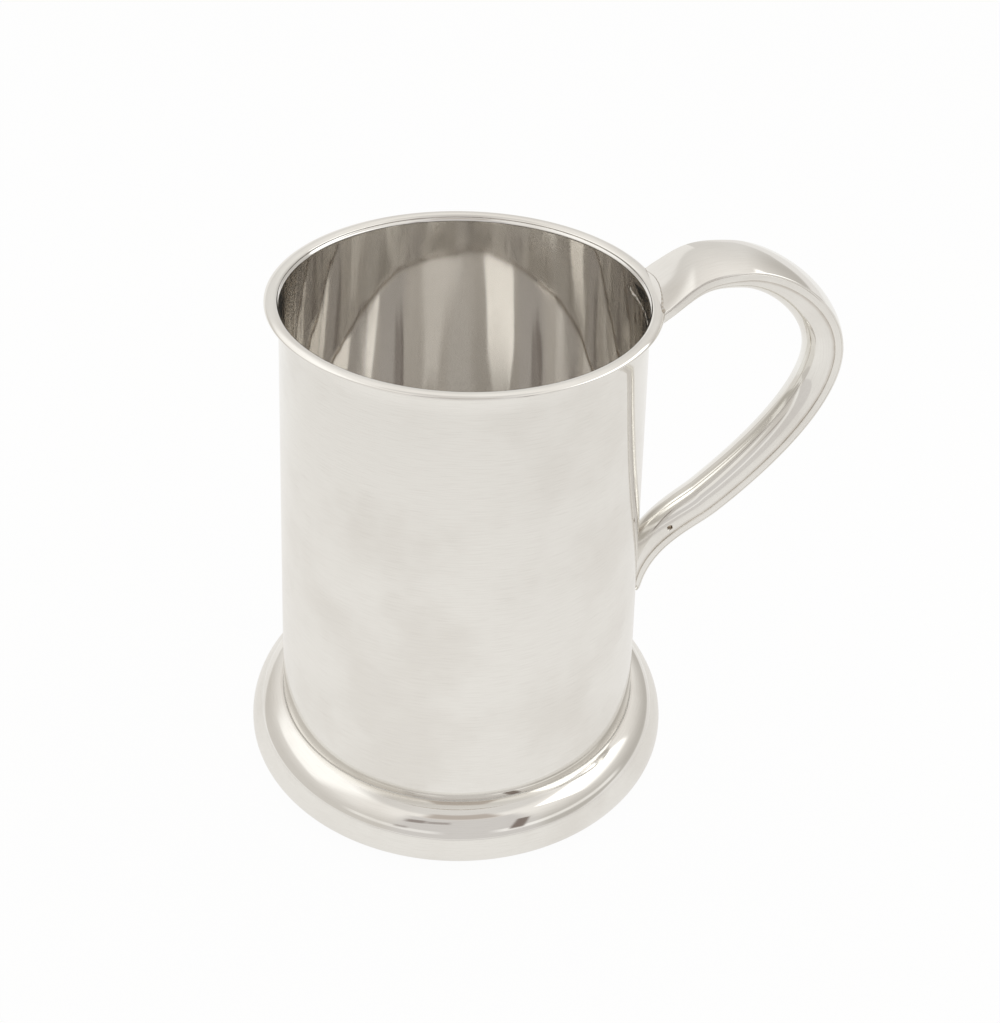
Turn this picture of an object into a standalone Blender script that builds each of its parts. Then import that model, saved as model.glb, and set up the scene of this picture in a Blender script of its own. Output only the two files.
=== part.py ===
"""A silver pint tankard: a tapering barrel, a moulded rim and foot, and a hollow handle.

Metres, +Z up. The tankard stands on z = 0 with its handle along +X, and the origin lies under the middle of
its bounding box, so that the barrel's axis stands a little to the -X side of it.
"""
import math

import bmesh
import bpy
import numpy as np
from mathutils import Matrix

MM = 0.001

# Barrel: a cone of sheet silver that narrows upwards and flares again at the lip
RIM_HEIGHT = 126.2 * MM
NECK_INSET = 2.9 * MM
NECK_BELOW_RIM = 6.0 * MM
WAIST_RADIUS = 45.4 * MM
BARREL_WALL = 0.9 * MM
BARREL_BOTTOM = 9.0 * MM

# Rim: a flattened oval wire that lies on the lip, flush inside and proud outside
RIM_RADIUS = 44.0 * MM
RIM_WIDTH = 2.9 * MM
RIM_THICKNESS = 1.25 * MM

# Base plate: a shallow dished disc inside the lower end of the barrel
PLATE_WALL = 0.9 * MM
PLATE_HEIGHT = 11.0 * MM
PLATE_DISH = 2.0 * MM
PLATE_MARGIN = 3.6 * MM

# Foot: a hollow ovolo moulding round the barrel, closed below by a flat standing wire
FOOT_RADIUS = 53.8 * MM
FOOT_HEIGHT = 14.7 * MM
FOOT_BELLY_HEIGHT = 4.9 * MM
FOOT_WALL = 0.9 * MM
STAND_INSET = 3.8 * MM
STAND_WIDTH = 3.4 * MM
STAND_THICKNESS = 1.6 * MM
FOOT_LIFT = 0.5 * MM

# Handle: its outer edge line, given from the rim's outer edge outwards and from the rim's top up or down
JOINT_UP = 0.4 * MM
JOINT_ANGLE = math.radians(40)
CREST_OUT = 16.9 * MM
CREST_UP = 7.1 * MM
LOOP_OUT = 42.3 * MM
LOOP_DOWN = 16.9 * MM
RUN_OUT = 17.8 * MM
RUN_DOWN = 58.1 * MM
RUN_ANGLE = math.radians(44.8)
TAIL_DOWN = 85.0 * MM
JOINT_PULL = 7.2 * MM
CREST_PULL = 9.9 * MM
LOOP_PULL = 14.3 * MM
RUN_PULL_ABOVE = 13.9 * MM
RUN_PULL_BELOW = 7.5 * MM
TAIL_PULL = 16.5 * MM
ROOT_DEPTH = 3.2 * MM

# Handle section: a crowned strip outside, a half-round channel inside
WIDTH_AT_RIM = 22.0 * MM
WIDTH_OF_RUN = 10.6 * MM
WIDTH_AT_TAIL = 7.4 * MM
DEPTH_AT_RIM = 2.8 * MM
DEPTH_OF_LOOP = 7.5 * MM
DEPTH_AT_TAIL = 5.2 * MM
STRIP_CROWN = 1.35 * MM
STRIP_CROWN_AT_RIM = 0.5 * MM
STRIP_WALL = 0.9 * MM
STRIP_TIP_WALL = 0.5 * MM
STRIP_TIP_LENGTH = 4.0 * MM
CHANNEL_WALL = 0.8 * MM
VENT_DIAMETER = 1.1 * MM
VENT_FROM_TAIL = 22.0 * MM
VENT_DEPTH = 2.3 * MM

# Hard solder: fillets in the corners of the turned pieces, beads round the ends of the channel
FILLET_LEG = 0.7 * MM
BEAD_RADIUS = 0.4 * MM
BEAD_FROM = math.radians(24)
BEAD_STEPS = 16

# Pieces that touch are kept this far apart
GAP = 0.3 * MM

# Counts of facets
ROUND_STEPS = 64
FLARE_STEPS = 4
RIM_STEPS = 12
DISH_STEPS = 4
ARC_STEPS = 8
SPAN_STEPS = (9, 12, 12, 14)
CROWN_STEPS = 8
CHANNEL_STEPS = 12
VENT_STEPS = 12

# Shares of the handle's length over which its section changes
FLARE_SHARE = 0.5
DEEPEN_SHARE = 0.4
TAPER_SHARE = 0.27
CROWN_SHARE = 0.1
CHANNEL_END_SHARE = 0.925
THINNING_SHARE = 0.12

# How square the handle's crown and channel are across, and how much narrower the tip of its tail is
CROWN_POWER = 2.5
CHANNEL_POWER = 0.9
TIP_NARROWING = 0.9

SILVER = (0.88, 0.87, 0.84, 1.0)
SOLDER = (0.60, 0.59, 0.56, 1.0)
POLISHED = 0.12
RAW = 0.4
SHARP_ANGLE = math.radians(35)


def material(name, colour, roughness):
    mat = bpy.data.materials.new(name)
    mat.use_nodes = True
    shader = mat.node_tree.nodes["Principled BSDF"]
    shader.inputs["Base Color"].default_value = colour
    shader.inputs["Metallic"].default_value = 1.0
    shader.inputs["Roughness"].default_value = roughness
    mat.diffuse_color = colour
    return mat


def add_object(name, bm, colour=SILVER, roughness=POLISHED):
    """Turn a bmesh into a named, smooth-shaded object with its own material."""
    bmesh.ops.recalc_face_normals(bm, faces=bm.faces)
    mesh = bpy.data.meshes.new(name)
    bm.to_mesh(mesh)
    bm.free()
    mesh.shade_smooth()
    mesh.set_sharp_from_angle(angle=SHARP_ANGLE)
    obj = bpy.data.objects.new(name, mesh)
    bpy.context.scene.collection.objects.link(obj)
    mesh.materials.append(material(name + "_metal", colour, roughness))
    return obj


def as_guide(obj):
    obj.hide_render = True
    obj.display_type = "WIRE"
    return obj


def boolean(obj, operation, other):
    step = obj.modifiers.new(operation.lower() + "_" + other.name, "BOOLEAN")
    step.operation = operation
    step.object = other
    step.solver = "EXACT"


def turned(profile, axis_x, closed=True):
    """Spin a profile of (radius, height) points round the barrel's upright axis."""
    bm = bmesh.new()
    verts = [bm.verts.new((axis_x + r, 0.0, z)) for r, z in profile]
    pairs = list(zip(verts, verts[1:]))
    if closed:
        pairs.append((verts[-1], verts[0]))
    edges = [bm.edges.new(pair) for pair in pairs]
    bmesh.ops.spin(bm, geom=verts + edges, cent=(axis_x, 0, 0), axis=(0, 0, 1),
                   angle=2 * math.pi, steps=ROUND_STEPS, use_merge=True)
    bmesh.ops.remove_doubles(bm, verts=bm.verts, dist=1e-7)
    return bm


def neck_height():
    return RIM_HEIGHT - NECK_BELOW_RIM


def neck_radius():
    return RIM_RADIUS - NECK_INSET


def lip_height():
    return RIM_HEIGHT - RIM_THICKNESS - GAP


def lip_radius():
    """The barrel's outer radius at the lip, where its inside is flush with the rim wire's."""
    return RIM_RADIUS - RIM_WIDTH + BARREL_WALL


def barrel_radius(z):
    """Outer radius of the barrel: a straight taper from foot to neck, then a flare out to the rim wire."""
    if z <= neck_height():
        share = (z - FOOT_HEIGHT) / (neck_height() - FOOT_HEIGHT)
        return WAIST_RADIUS + (neck_radius() - WAIST_RADIUS) * share
    share = (z - neck_height()) / (lip_height() - neck_height())
    return neck_radius() + (lip_radius() - neck_radius()) * share ** 2


def barrel_heights(low, high):
    """Heights where the barrel's outline needs a point: its ends, and closely up the flare."""
    flare = np.linspace(neck_height(), lip_height(), FLARE_STEPS + 1)[:-1]
    return [low] + [z for z in flare if low < z < high] + [high]


def barrel(axis_x):
    heights = barrel_heights(BARREL_BOTTOM, lip_height())
    outside = [(barrel_radius(z), z) for z in reversed(heights)]
    inside = [(r - BARREL_WALL, z) for r, z in reversed(outside)]
    return add_object("barrel", turned(outside + inside, axis_x))


def rim_moulding(axis_x):
    middle = RIM_RADIUS - RIM_WIDTH / 2
    turns = np.linspace(0, 2 * math.pi, RIM_STEPS, endpoint=False)
    section = [(middle + RIM_WIDTH / 2 * math.cos(t),
                RIM_HEIGHT - RIM_THICKNESS / 2 * (1 - math.sin(t))) for t in turns]
    return add_object("rim_moulding", turned(section, axis_x))


def plate_radius():
    return barrel_radius(PLATE_HEIGHT) - BARREL_WALL - GAP


def base_plate(axis_x):
    """A disc that sinks to a shallow dish in the middle, with a short flat margin at its edge."""
    edge = plate_radius()
    dish = edge - PLATE_MARGIN
    shares = np.linspace(0, 1, DISH_STEPS + 1)
    top = [(dish * s, PLATE_HEIGHT - PLATE_DISH * (1 - s * s)) for s in shares] + [(edge, PLATE_HEIGHT)]
    under = [(r, z - PLATE_WALL) for r, z in reversed(top)]
    return add_object("base_plate", turned(top + under, axis_x, closed=False))


def stand_radius():
    return FOOT_RADIUS - STAND_INSET


def foot_outline():
    """The ovolo from where it meets the barrel, round its belly and in to the standing wire."""
    top_radius = WAIST_RADIUS + GAP
    turns = np.linspace(math.pi / 2, 0, ARC_STEPS)
    upper = [(top_radius + (FOOT_RADIUS - top_radius) * math.cos(t),
              FOOT_BELLY_HEIGHT + (FOOT_HEIGHT - FOOT_BELLY_HEIGHT) * math.sin(t)) for t in turns]
    turns = np.linspace(0, math.pi / 2, ARC_STEPS // 2 + 1)[1:]
    lower = [(stand_radius() + STAND_INSET * math.cos(t),
              FOOT_BELLY_HEIGHT - (FOOT_BELLY_HEIGHT - FOOT_LIFT) * math.sin(t)) for t in turns]
    return upper + lower


def offset_inwards(outline, wall):
    """Move each point of an open outline to its right by the wall's thickness."""
    points = np.array(outline)
    along = np.gradient(points, axis=0)
    along /= np.linalg.norm(along, axis=1)[:, None]
    inwards = np.stack([along[:, 1], -along[:, 0]], axis=1)
    return [tuple(p) for p in points + wall * inwards]


def foot_moulding(axis_x):
    outside = foot_outline()
    inside = offset_inwards(outside, FOOT_WALL)
    inside[0] = (outside[0][0], outside[0][1] - FOOT_WALL)
    inside[-1] = (outside[-1][0], outside[-1][1] + FOOT_WALL)
    return add_object("foot_moulding", turned(outside + inside[::-1], axis_x))


def foot_wire(axis_x):
    outer = stand_radius() - GAP
    inner = outer - STAND_WIDTH
    section = [(outer, STAND_THICKNESS), (outer, 0), (inner, 0), (inner, STAND_THICKNESS)]
    return add_object("foot_wire", turned(section, axis_x))


def ring_solder(name, corner_radius, corner_height, out, up, axis_x):
    """A fillet of solder in the corner of two turned pieces; out and up point away from the corner."""
    r, z = corner_radius + out * GAP, corner_height + up * GAP
    section = [(r, z), (r + out * FILLET_LEG, z), (r, z + up * FILLET_LEG)]
    return add_object(name, turned(section, axis_x), SOLDER, RAW)


def cubic(start, pull_start, pull_end, end, steps):
    t = np.linspace(0, 1, steps + 1)[:, None]
    return ((1 - t) ** 3 * start + 3 * (1 - t) ** 2 * t * pull_start
            + 3 * (1 - t) * t ** 2 * pull_end + t ** 3 * end)


def handle_path():
    """The handle's outer edge line as (distance from the barrel's axis, height) points, rim to tail."""
    joint_way = np.array([math.cos(JOINT_ANGLE), math.sin(JOINT_ANGLE)])
    run_way = np.array([-math.cos(RUN_ANGLE), -math.sin(RUN_ANGLE)])
    out, down = np.array([1.0, 0.0]), np.array([0.0, -1.0])
    joint = np.array([RIM_RADIUS, RIM_HEIGHT + JOINT_UP])
    crest = np.array([RIM_RADIUS + CREST_OUT, RIM_HEIGHT + CREST_UP])
    loop = np.array([RIM_RADIUS + LOOP_OUT, RIM_HEIGHT - LOOP_DOWN])
    run = np.array([RIM_RADIUS + RUN_OUT, RIM_HEIGHT - RUN_DOWN])
    tail_height = RIM_HEIGHT - TAIL_DOWN
    tail = np.array([barrel_radius(tail_height) + GAP + STRIP_TIP_WALL, tail_height])
    root = joint - joint_way * (NECK_INSET + ROOT_DEPTH) / math.cos(JOINT_ANGLE)
    spans = [
        cubic(joint, joint + JOINT_PULL * joint_way, crest - CREST_PULL * out, crest, SPAN_STEPS[0]),
        cubic(crest, crest + CREST_PULL * out, loop - LOOP_PULL * down, loop, SPAN_STEPS[1]),
        cubic(loop, loop + LOOP_PULL * down, run - RUN_PULL_ABOVE * run_way, run, SPAN_STEPS[2]),
        cubic(run, run + RUN_PULL_BELOW * run_way, tail - TAIL_PULL * down, tail, SPAN_STEPS[3]),
    ]
    return np.vstack([root[None], spans[0]] + [span[1:] for span in spans[1:]])


def handle_length():
    return float(np.linalg.norm(np.diff(handle_path()[1:], axis=0), axis=1).sum())


def handle_stations():
    """For each point of the path: the point, the way into the loop, and its share of the length."""
    points = handle_path()
    steps = np.linalg.norm(np.diff(points[1:], axis=0), axis=1)
    share = np.concatenate([[0.0, 0.0], np.cumsum(steps)]) / steps.sum()
    along = np.gradient(points, axis=0)
    along /= np.linalg.norm(along, axis=1)[:, None]
    inwards = np.stack([along[:, 1], -along[:, 0]], axis=1)
    return points, inwards, share


def ease(share, reach):
    """1 at a share of 0, falling smoothly to 0 at the given reach."""
    return max(0.0, 1 - share / reach) ** 2


def section_sizes(share):
    """Width, depth and crown of the handle at a share of its length."""
    width = (WIDTH_OF_RUN + (WIDTH_AT_RIM - WIDTH_OF_RUN) * ease(share, FLARE_SHARE)
             - (WIDTH_OF_RUN - WIDTH_AT_TAIL) * ease(1 - share, TAPER_SHARE))
    depth = (DEPTH_OF_LOOP - (DEPTH_OF_LOOP - DEPTH_AT_RIM) * ease(share, DEEPEN_SHARE)
             - (DEPTH_OF_LOOP - DEPTH_AT_TAIL) * ease(1 - share, TAPER_SHARE))
    crown = STRIP_CROWN - (STRIP_CROWN - STRIP_CROWN_AT_RIM) * ease(share, CROWN_SHARE)
    from_tip = max(0.0, 1 - (1 - share) * handle_length() / STRIP_TIP_LENGTH)
    width *= math.sqrt(1 - TIP_NARROWING * from_tip ** 2)
    return width, depth, crown * min(1.0, width / WIDTH_OF_RUN)


def strip_wall(share):
    """The strip is hammered thin towards the tip of its tail."""
    return STRIP_WALL - (STRIP_WALL - STRIP_TIP_WALL) * ease(1 - share, THINNING_SHARE)


def crown_curve(width, crown):
    """The strip's outer face across its width: flat in the middle, rolled off towards the edges."""
    sides = np.linspace(-1, 1, CROWN_STEPS + 1)
    return [(-crown * (1 - abs(s) ** CROWN_POWER), s * width / 2) for s in sides]


def round_point(turn, start, width, depth):
    """A point on the channel's half-round: no turn at one edge, half a turn at the other."""
    return start + (depth - start) * math.sin(turn) ** CHANNEL_POWER, width / 2 * math.cos(turn)


def round_curve(start, width, depth):
    """The channel's half-round from one edge, round its bottom, to the other."""
    return [round_point(turn, start, width, depth) for turn in np.linspace(0, math.pi, CHANNEL_STEPS + 1)]


def strip_section(share):
    width, _, crown = section_sizes(share)
    outside = crown_curve(width, crown)
    return outside + [(a + strip_wall(share), b) for a, b in reversed(outside)]


def channel_section(share):
    width, depth, _ = section_sizes(share)
    edge = STRIP_WALL + GAP
    outside = round_curve(edge, width, depth)
    inside = round_curve(edge, width - 2 * CHANNEL_WALL, depth - CHANNEL_WALL)
    return outside + inside[::-1]


def lofted(section_at, first, last, axis_x):
    """Join the sections along the handle's path, between two shares of its length, into a closed solid."""
    points, inwards, shares = handle_stations()
    rings = []
    bm = bmesh.new()
    for point, way, share in zip(points, inwards, shares):
        if not first <= share <= last:
            continue
        ring = []
        for a, b in section_at(share):
            r, z = point + a * way
            ring.append(bm.verts.new((axis_x + r, b, z)))
        rings.append(ring)
    count = len(rings[0])
    for near, far in zip(rings, rings[1:]):
        for i in range(count):
            j = (i + 1) % count
            bm.faces.new((near[i], near[j], far[j], far[i]))
    bm.faces.new(rings[0])
    bm.faces.new(rings[-1][::-1])
    return bm


def cleared_radius(z, clearance):
    """How far from the barrel's axis a piece at this height has to stay, to clear the barrel and the rim."""
    if z > RIM_HEIGHT - RIM_THICKNESS - clearance:
        return RIM_RADIUS + clearance
    slope = (barrel_radius(z + GAP) - barrel_radius(z - GAP)) / (2 * GAP)
    return barrel_radius(z) + clearance * math.hypot(1, slope)


def barrel_clearance(name, clearance, axis_x):
    """A guide solid: barrel and rim, thicker all round by a clearance, as tall as the handle."""
    rim_under = RIM_HEIGHT - RIM_THICKNESS - clearance
    top = RIM_HEIGHT + CREST_UP + WIDTH_AT_RIM
    heights = barrel_heights(FOOT_HEIGHT, rim_under)
    profile = [(0, top), (RIM_RADIUS + clearance, top), (RIM_RADIUS + clearance, rim_under)]
    profile += [(barrel_radius(z) + clearance, z) for z in reversed(heights)]
    profile += [(0, FOOT_HEIGHT)]
    return as_guide(add_object(name, turned(profile, axis_x, closed=False)))


def handle_strip(axis_x, body):
    strip = add_object("handle_strip", lofted(strip_section, 0, 1, axis_x))
    boolean(strip, "DIFFERENCE", body)
    return strip


def handle_channel(axis_x, body):
    channel = add_object("handle_channel", lofted(channel_section, 0, CHANNEL_END_SHARE, axis_x))
    boolean(channel, "DIFFERENCE", body)
    boolean(channel, "DIFFERENCE", vent(axis_x))
    return channel


def vent(axis_x):
    """A guide pin for the small hole that lets the hollow handle breathe, low on its near side."""
    points, inwards, shares = handle_stations()
    index = int(np.argmin(np.abs((1 - shares) * handle_length() - VENT_FROM_TAIL)))
    width, _, _ = section_sizes(shares[index])
    r, z = points[index] + VENT_DEPTH * inwards[index]
    bm = bmesh.new()
    bmesh.ops.create_cone(bm, cap_ends=True, segments=VENT_STEPS, radius1=VENT_DIAMETER / 2,
                          radius2=VENT_DIAMETER / 2, depth=width / 2)
    bmesh.ops.rotate(bm, verts=bm.verts, cent=(0, 0, 0), matrix=Matrix.Rotation(math.pi / 2, 3, "X"))
    bmesh.ops.translate(bm, verts=bm.verts, vec=(axis_x + r, -width / 2, z))
    return as_guide(add_object("vent_guide", bm))


def bead_point(turn, stations, axis_x):
    """Where a line along the channel's side, clear of it by the bead, is stopped by the barrel or the rim.

    The stations run from the middle of the handle to the end where the bead lies.
    """
    clear = GAP + BEAD_RADIUS
    before = None
    for point, way, share in stations:
        width, depth, _ = section_sizes(share)
        a, b = round_point(turn, STRIP_WALL + GAP, width + 2 * clear, depth + clear)
        r, z = point + a * way
        over = math.hypot(r, b) - cleared_radius(z, clear)
        if over <= 0:
            part = before[1] / (before[1] - over)
            x, y, height = (1 - part) * before[0] + part * np.array([axis_x + r, b, z])
            return x, y, height
        before = (np.array([axis_x + r, b, z]), over)
    raise ValueError("the channel's side never reaches the barrel")


def solder_bead(name, stations, axis_x):
    """A thin bead of solder in the corner between the channel and the barrel, from side to side."""
    curve = bpy.data.curves.new(name, "CURVE")
    curve.dimensions = "3D"
    curve.bevel_depth = BEAD_RADIUS
    curve.bevel_resolution = 1
    curve.use_fill_caps = True
    spline = curve.splines.new("POLY")
    spline.points.add(BEAD_STEPS)
    for knot, turn in zip(spline.points, np.linspace(BEAD_FROM, math.pi - BEAD_FROM, BEAD_STEPS + 1)):
        knot.co = (*bead_point(turn, stations, axis_x), 1.0)
    bead = bpy.data.objects.new(name, curve)
    bpy.context.scene.collection.objects.link(bead)
    curve.materials.append(material(name + "_metal", SOLDER, RAW))
    return bead


def handle_reach():
    """How far the handle stands out from the barrel's axis, crown included."""
    points, inwards, shares = handle_stations()
    crowns = np.array([section_sizes(s)[2] for s in shares])
    return float((points[:, 0] - crowns * inwards[:, 0]).max())


def main():
    for obj in list(bpy.data.objects):
        bpy.data.objects.remove(obj)

    axis_x = (FOOT_RADIUS - handle_reach()) / 2
    barrel(axis_x)
    rim_moulding(axis_x)
    base_plate(axis_x)
    foot_moulding(axis_x)
    foot_wire(axis_x)
    ring_solder("foot_solder", barrel_radius(FOOT_HEIGHT), FOOT_HEIGHT, 1, 1, axis_x)
    plate_corner = (barrel_radius(PLATE_HEIGHT) - BARREL_WALL, PLATE_HEIGHT - PLATE_WALL)
    ring_solder("base_solder", *plate_corner, -1, -1, axis_x)

    body = barrel_clearance("body_guide", GAP, axis_x)
    handle_strip(axis_x, body)
    handle_channel(axis_x, body)
    stations = list(zip(*handle_stations()))
    middle = len(stations) // 2
    solder_bead("upper_handle_solder", stations[middle::-1], axis_x)
    solder_bead("lower_handle_solder", stations[middle:], axis_x)


main()
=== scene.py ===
"""Looks of a silver tankard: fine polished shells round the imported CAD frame, and a plain studio.

Metres, +Z up, in the frame's own coordinates: the tankard stands on z = 0 with its handle along +X, and the
photograph is taken from the -Y side. Every silver piece is a numpy surface of two parameters.
"""
import math
from dataclasses import dataclass

import bmesh
import bpy
import numpy as np
from bpy.props import FloatProperty, FloatVectorProperty, PointerProperty
from bpy.types import Operator, Panel, PropertyGroup
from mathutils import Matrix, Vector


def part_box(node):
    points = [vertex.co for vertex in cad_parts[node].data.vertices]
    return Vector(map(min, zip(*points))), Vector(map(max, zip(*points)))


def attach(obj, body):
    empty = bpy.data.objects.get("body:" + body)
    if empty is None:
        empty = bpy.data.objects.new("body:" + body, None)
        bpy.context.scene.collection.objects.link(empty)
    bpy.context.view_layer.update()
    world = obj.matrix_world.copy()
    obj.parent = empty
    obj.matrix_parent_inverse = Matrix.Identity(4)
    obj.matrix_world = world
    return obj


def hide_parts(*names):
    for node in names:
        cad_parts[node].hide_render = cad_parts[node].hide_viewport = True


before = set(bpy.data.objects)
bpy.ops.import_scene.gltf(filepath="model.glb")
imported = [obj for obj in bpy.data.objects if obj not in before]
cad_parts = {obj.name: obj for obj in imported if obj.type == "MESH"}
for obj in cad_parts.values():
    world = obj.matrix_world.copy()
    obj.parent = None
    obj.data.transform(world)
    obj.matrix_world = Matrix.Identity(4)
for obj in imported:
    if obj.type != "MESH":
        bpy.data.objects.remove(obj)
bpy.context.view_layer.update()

bl_info = {
    "name": "Silver tankard",
    "version": (1, 0, 0),
    "blender": (4, 5, 0),
    "location": "3D View > Sidebar > Tankard",
    "description": "Dresses the CAD frame of a silver tankard and sets up its studio",
    "category": "Object",
}

MM = 0.001
BODY = "root"

# Places and sizes that the frame gives
barrel_low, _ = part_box("barrel")
rim_low, rim_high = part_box("rim_moulding")
plate_low, plate_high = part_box("base_plate")
foot_low, foot_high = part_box("foot_moulding")
wire_low, wire_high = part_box("foot_wire")
AXIS_X = (rim_low[0] + rim_high[0]) / 2
RIM_HEIGHT = rim_high[2]
RIM_RADIUS = (rim_high[1] - rim_low[1]) / 2
RIM_THICKNESS = rim_high[2] - rim_low[2]
FOOT_RADIUS = (foot_high[1] - foot_low[1]) / 2
FOOT_HEIGHT = foot_high[2]
STAND_RADIUS = (wire_high[1] - wire_low[1]) / 2
PLATE_RADIUS = (plate_high[1] - plate_low[1]) / 2

# Sizes inside those boxes, as in the CAD
NECK_RADIUS = RIM_RADIUS - 2.9 * MM
NECK_HEIGHT = RIM_HEIGHT - 6.0 * MM
WAIST_RADIUS = 45.4 * MM
RIM_WIDTH = 2.9 * MM
LIP_RADIUS = RIM_RADIUS - 2.0 * MM
LIP_HEIGHT = RIM_HEIGHT - RIM_THICKNESS / 2
FOOT_BELLY_HEIGHT = 4.9 * MM
STAND_INSET = 3.8 * MM
STAND_WIDTH = 3.4 * MM
PLATE_DISH = 2.0 * MM
PLATE_MARGIN = 1.1 * MM
FOOT_NECK_RADIUS = WAIST_RADIUS - 0.05 * MM

# Only in the looks: the bore's radius below the lip, which is straighter than the CAD's
BORE_AT_LIP = 40.6 * MM

# The CAD's gap between soldered pieces, how far the visible ones reach into each other, and their fillets
SEAT_GAP = 0.3 * MM
PLATE_REACH = 0.35 * MM
RIM_SINK = 0.8 * MM
BARREL_SINK = 0.25 * MM
FOOT_SINK = 0.05 * MM
BASE_FILLET = 1.0 * MM
FOOT_FILLET = 0.5 * MM
STAND_ROUND = 0.3 * MM

# Waves of planishing inside the body: lobes round it, weight, turn in radians to the metre, and phase
PLANISHING = ((5, 3.0, 35.0, 0.4), (9, 1.6, -57.0, 2.1), (15, 0.7, 63.0, 4.4), (27, 0.25, 81.0, 1.2),
              (47, 0.08, -79.0, 3.3))

# The handle's outer edge line, as in the CAD: (out from the rim's edge, up from the rim's top)
JOINT = (0.0, 0.4 * MM)
CREST = (16.9 * MM, 7.1 * MM)
LOOP = (42.3 * MM, -16.9 * MM)
RUN = (17.8 * MM, -58.1 * MM)
TAIL_DOWN = 85.0 * MM
TAIL_OFF_BARREL = 0.8 * MM
JOINT_ANGLE = math.radians(40)
RUN_ANGLE = math.radians(44.8)
JOINT_PULL = 7.2 * MM
CREST_PULL = 9.9 * MM
LOOP_PULL = 14.3 * MM
RUN_PULLS = (13.9 * MM, 7.5 * MM)
TAIL_PULL = 16.5 * MM
ROOT_LENGTH = 8.0 * MM

# The handle's section and the shares of its length over which it changes: the CAD's, but for a thicker edge
# with a fine line in it, a fuller crown at the rim, and a dimple as the vent hole
WIDTH_AT_RIM = 22.0 * MM
WIDTH_OF_RUN = 10.6 * MM
WIDTH_AT_TAIL = 7.4 * MM
DEPTH_AT_RIM = 2.8 * MM
DEPTH_OF_LOOP = 7.5 * MM
DEPTH_AT_TAIL = 5.2 * MM
STRIP_CROWN = 1.35 * MM
STRIP_CROWN_AT_RIM = 1.15 * MM
STRIP_TIP_LENGTH = 4.0 * MM
TIP_NARROWING = 0.9
FLARE_SHARE = 0.5
DEEPEN_SHARE = 0.4
TAPER_SHARE = 0.27
CROWN_SHARE = 0.1
THINNING_SHARE = 0.12
CROWN_POWER = 2.2
CHANNEL_POWER = 0.9
CHANNEL_END = 0.97
EDGE_RISE = (0.55 * MM, 0.25 * MM)
EDGE_UNDER = (1.45 * MM, 0.88 * MM)
EDGE_ROUND = 0.28 * MM
EDGE_LINE = 0.42 * MM
EDGE_LINE_WIDTH = 0.09 * MM
EDGE_LINE_DEPTH = 0.06 * MM
EDGE_LINE_LIMIT = 0.55
LEAST_CROWN = 0.05 * MM
SEAM_INSET = 0.28 * MM
SEAM_SINK = 0.04 * MM
VENT_FROM_TAIL = 22.0 * MM
VENT_DEPTH = 3.0 * MM
VENT_DIMPLE = 0.6 * MM
VENT_SLOPE = 0.1 * MM

# Lumps of solder: share of the bead's length, spread, and growth
LUMPS_ROUND_CHANNEL = ((0.92, 0.03, 1.1), (0.08, 0.03, 0.7))
LUMPS_ON_FACE = ((0.04, 0.05, 2.2), (0.16, 0.06, 0.7), (0.85, 0.4, -0.65))
FACE_BEAD_SHARE = 0.45

# Counts of points
ROUND_STEPS = 512
SPAN_STEPS = 200
LENGTH_STEPS = 420
FACE_COLUMNS = 61
CHANNEL_COLUMNS = 61
EDGE_COLUMNS = 17
BEAD_SIDES = 14
BEAD_STEPS = 160

# Closer points at the vent hole: half width, count, and half width free of even ones
VENT_TURNS = (0.16, 33, 0.17)
VENT_SHARES = (0.012, 57, 0.0125)

# Trimming the handle to the body: steps along it, where it starts at both ends, and how far the trim fades
TRIM_STEPS = 1200
TRIM_FROM_RIM = 20 * MM
TRIM_FROM_SHARE = 0.75
TRIM_FADE = 0.15

# Camera and light paths
CAMERA_PLACE = (-0.0474354, -0.2917569, 0.2776359)
CAMERA_TURN = (54.3645, -1.8564, -6.4952)
CAMERA_LENS = 52.2768
MIRROR_BOUNCES = 18

# The two soft lamps over the sides, and the black cards round the lens
LAMP_HEIGHTS = (0.255, 0.32)
CARD_PLACE = -0.30
FLOOR_REACH = 1.5
FLOOR_DROP = -0.0001

# Where the studio's parts begin and end, in degrees round the tankard or up from the floor
RIGHT_WALL = (20, 45)
BACK_WALL = (142, 162)
HIGH_WALL = (12, 54)
CEILING = (64, 72)
FRONT_SIDES = (30, 42)
FRONT_TOP = (55, 60)
ROOM_TOP_SIDES = (22, 34)
ROOM_TOP = (58, 73, 5)
LOW_LIGHTS = (13, 20, 3)
LOW_LIGHT_RIGHT = (15, 85, 12)
LOW_LIGHT_LEFT = (-60, -14, 12)
HORIZON_SOFTNESS = 1.6

# Fixed colours
WHITE = (1, 1, 1)
# Painted light: the paper at the back, brighter as the silver sees it
PAPER_LIGHT_AT_BACK = (0.98, 0.975, 0.96)


class TankardSizes(PropertyGroup):
    wall: FloatProperty(
        name="Sheet thickness", description="Thickness of the sheet silver of the body and foot",
        default=0.0009, min=0.0004, max=0.002, unit="LENGTH")
    channel_wall: FloatProperty(
        name="Channel thickness", description="Thickness of the hollow handle's sheet",
        default=0.0008, min=0.0004, max=0.002, unit="LENGTH")
    hammering: FloatProperty(
        name="Hammering", description="Height of the waves of planishing inside the body",
        default=0.000016, min=0, max=0.0001, precision=6, unit="LENGTH")
    bead: FloatProperty(
        name="Solder bead", description="Radius of the solder round the handle's ends",
        default=0.0003, min=0.0001, max=0.001, unit="LENGTH")
    vent: FloatProperty(
        name="Vent hole", description="Diameter of the hole that lets the handle breathe",
        default=0.0011, min=0.0003, max=0.002, unit="LENGTH")


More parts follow.
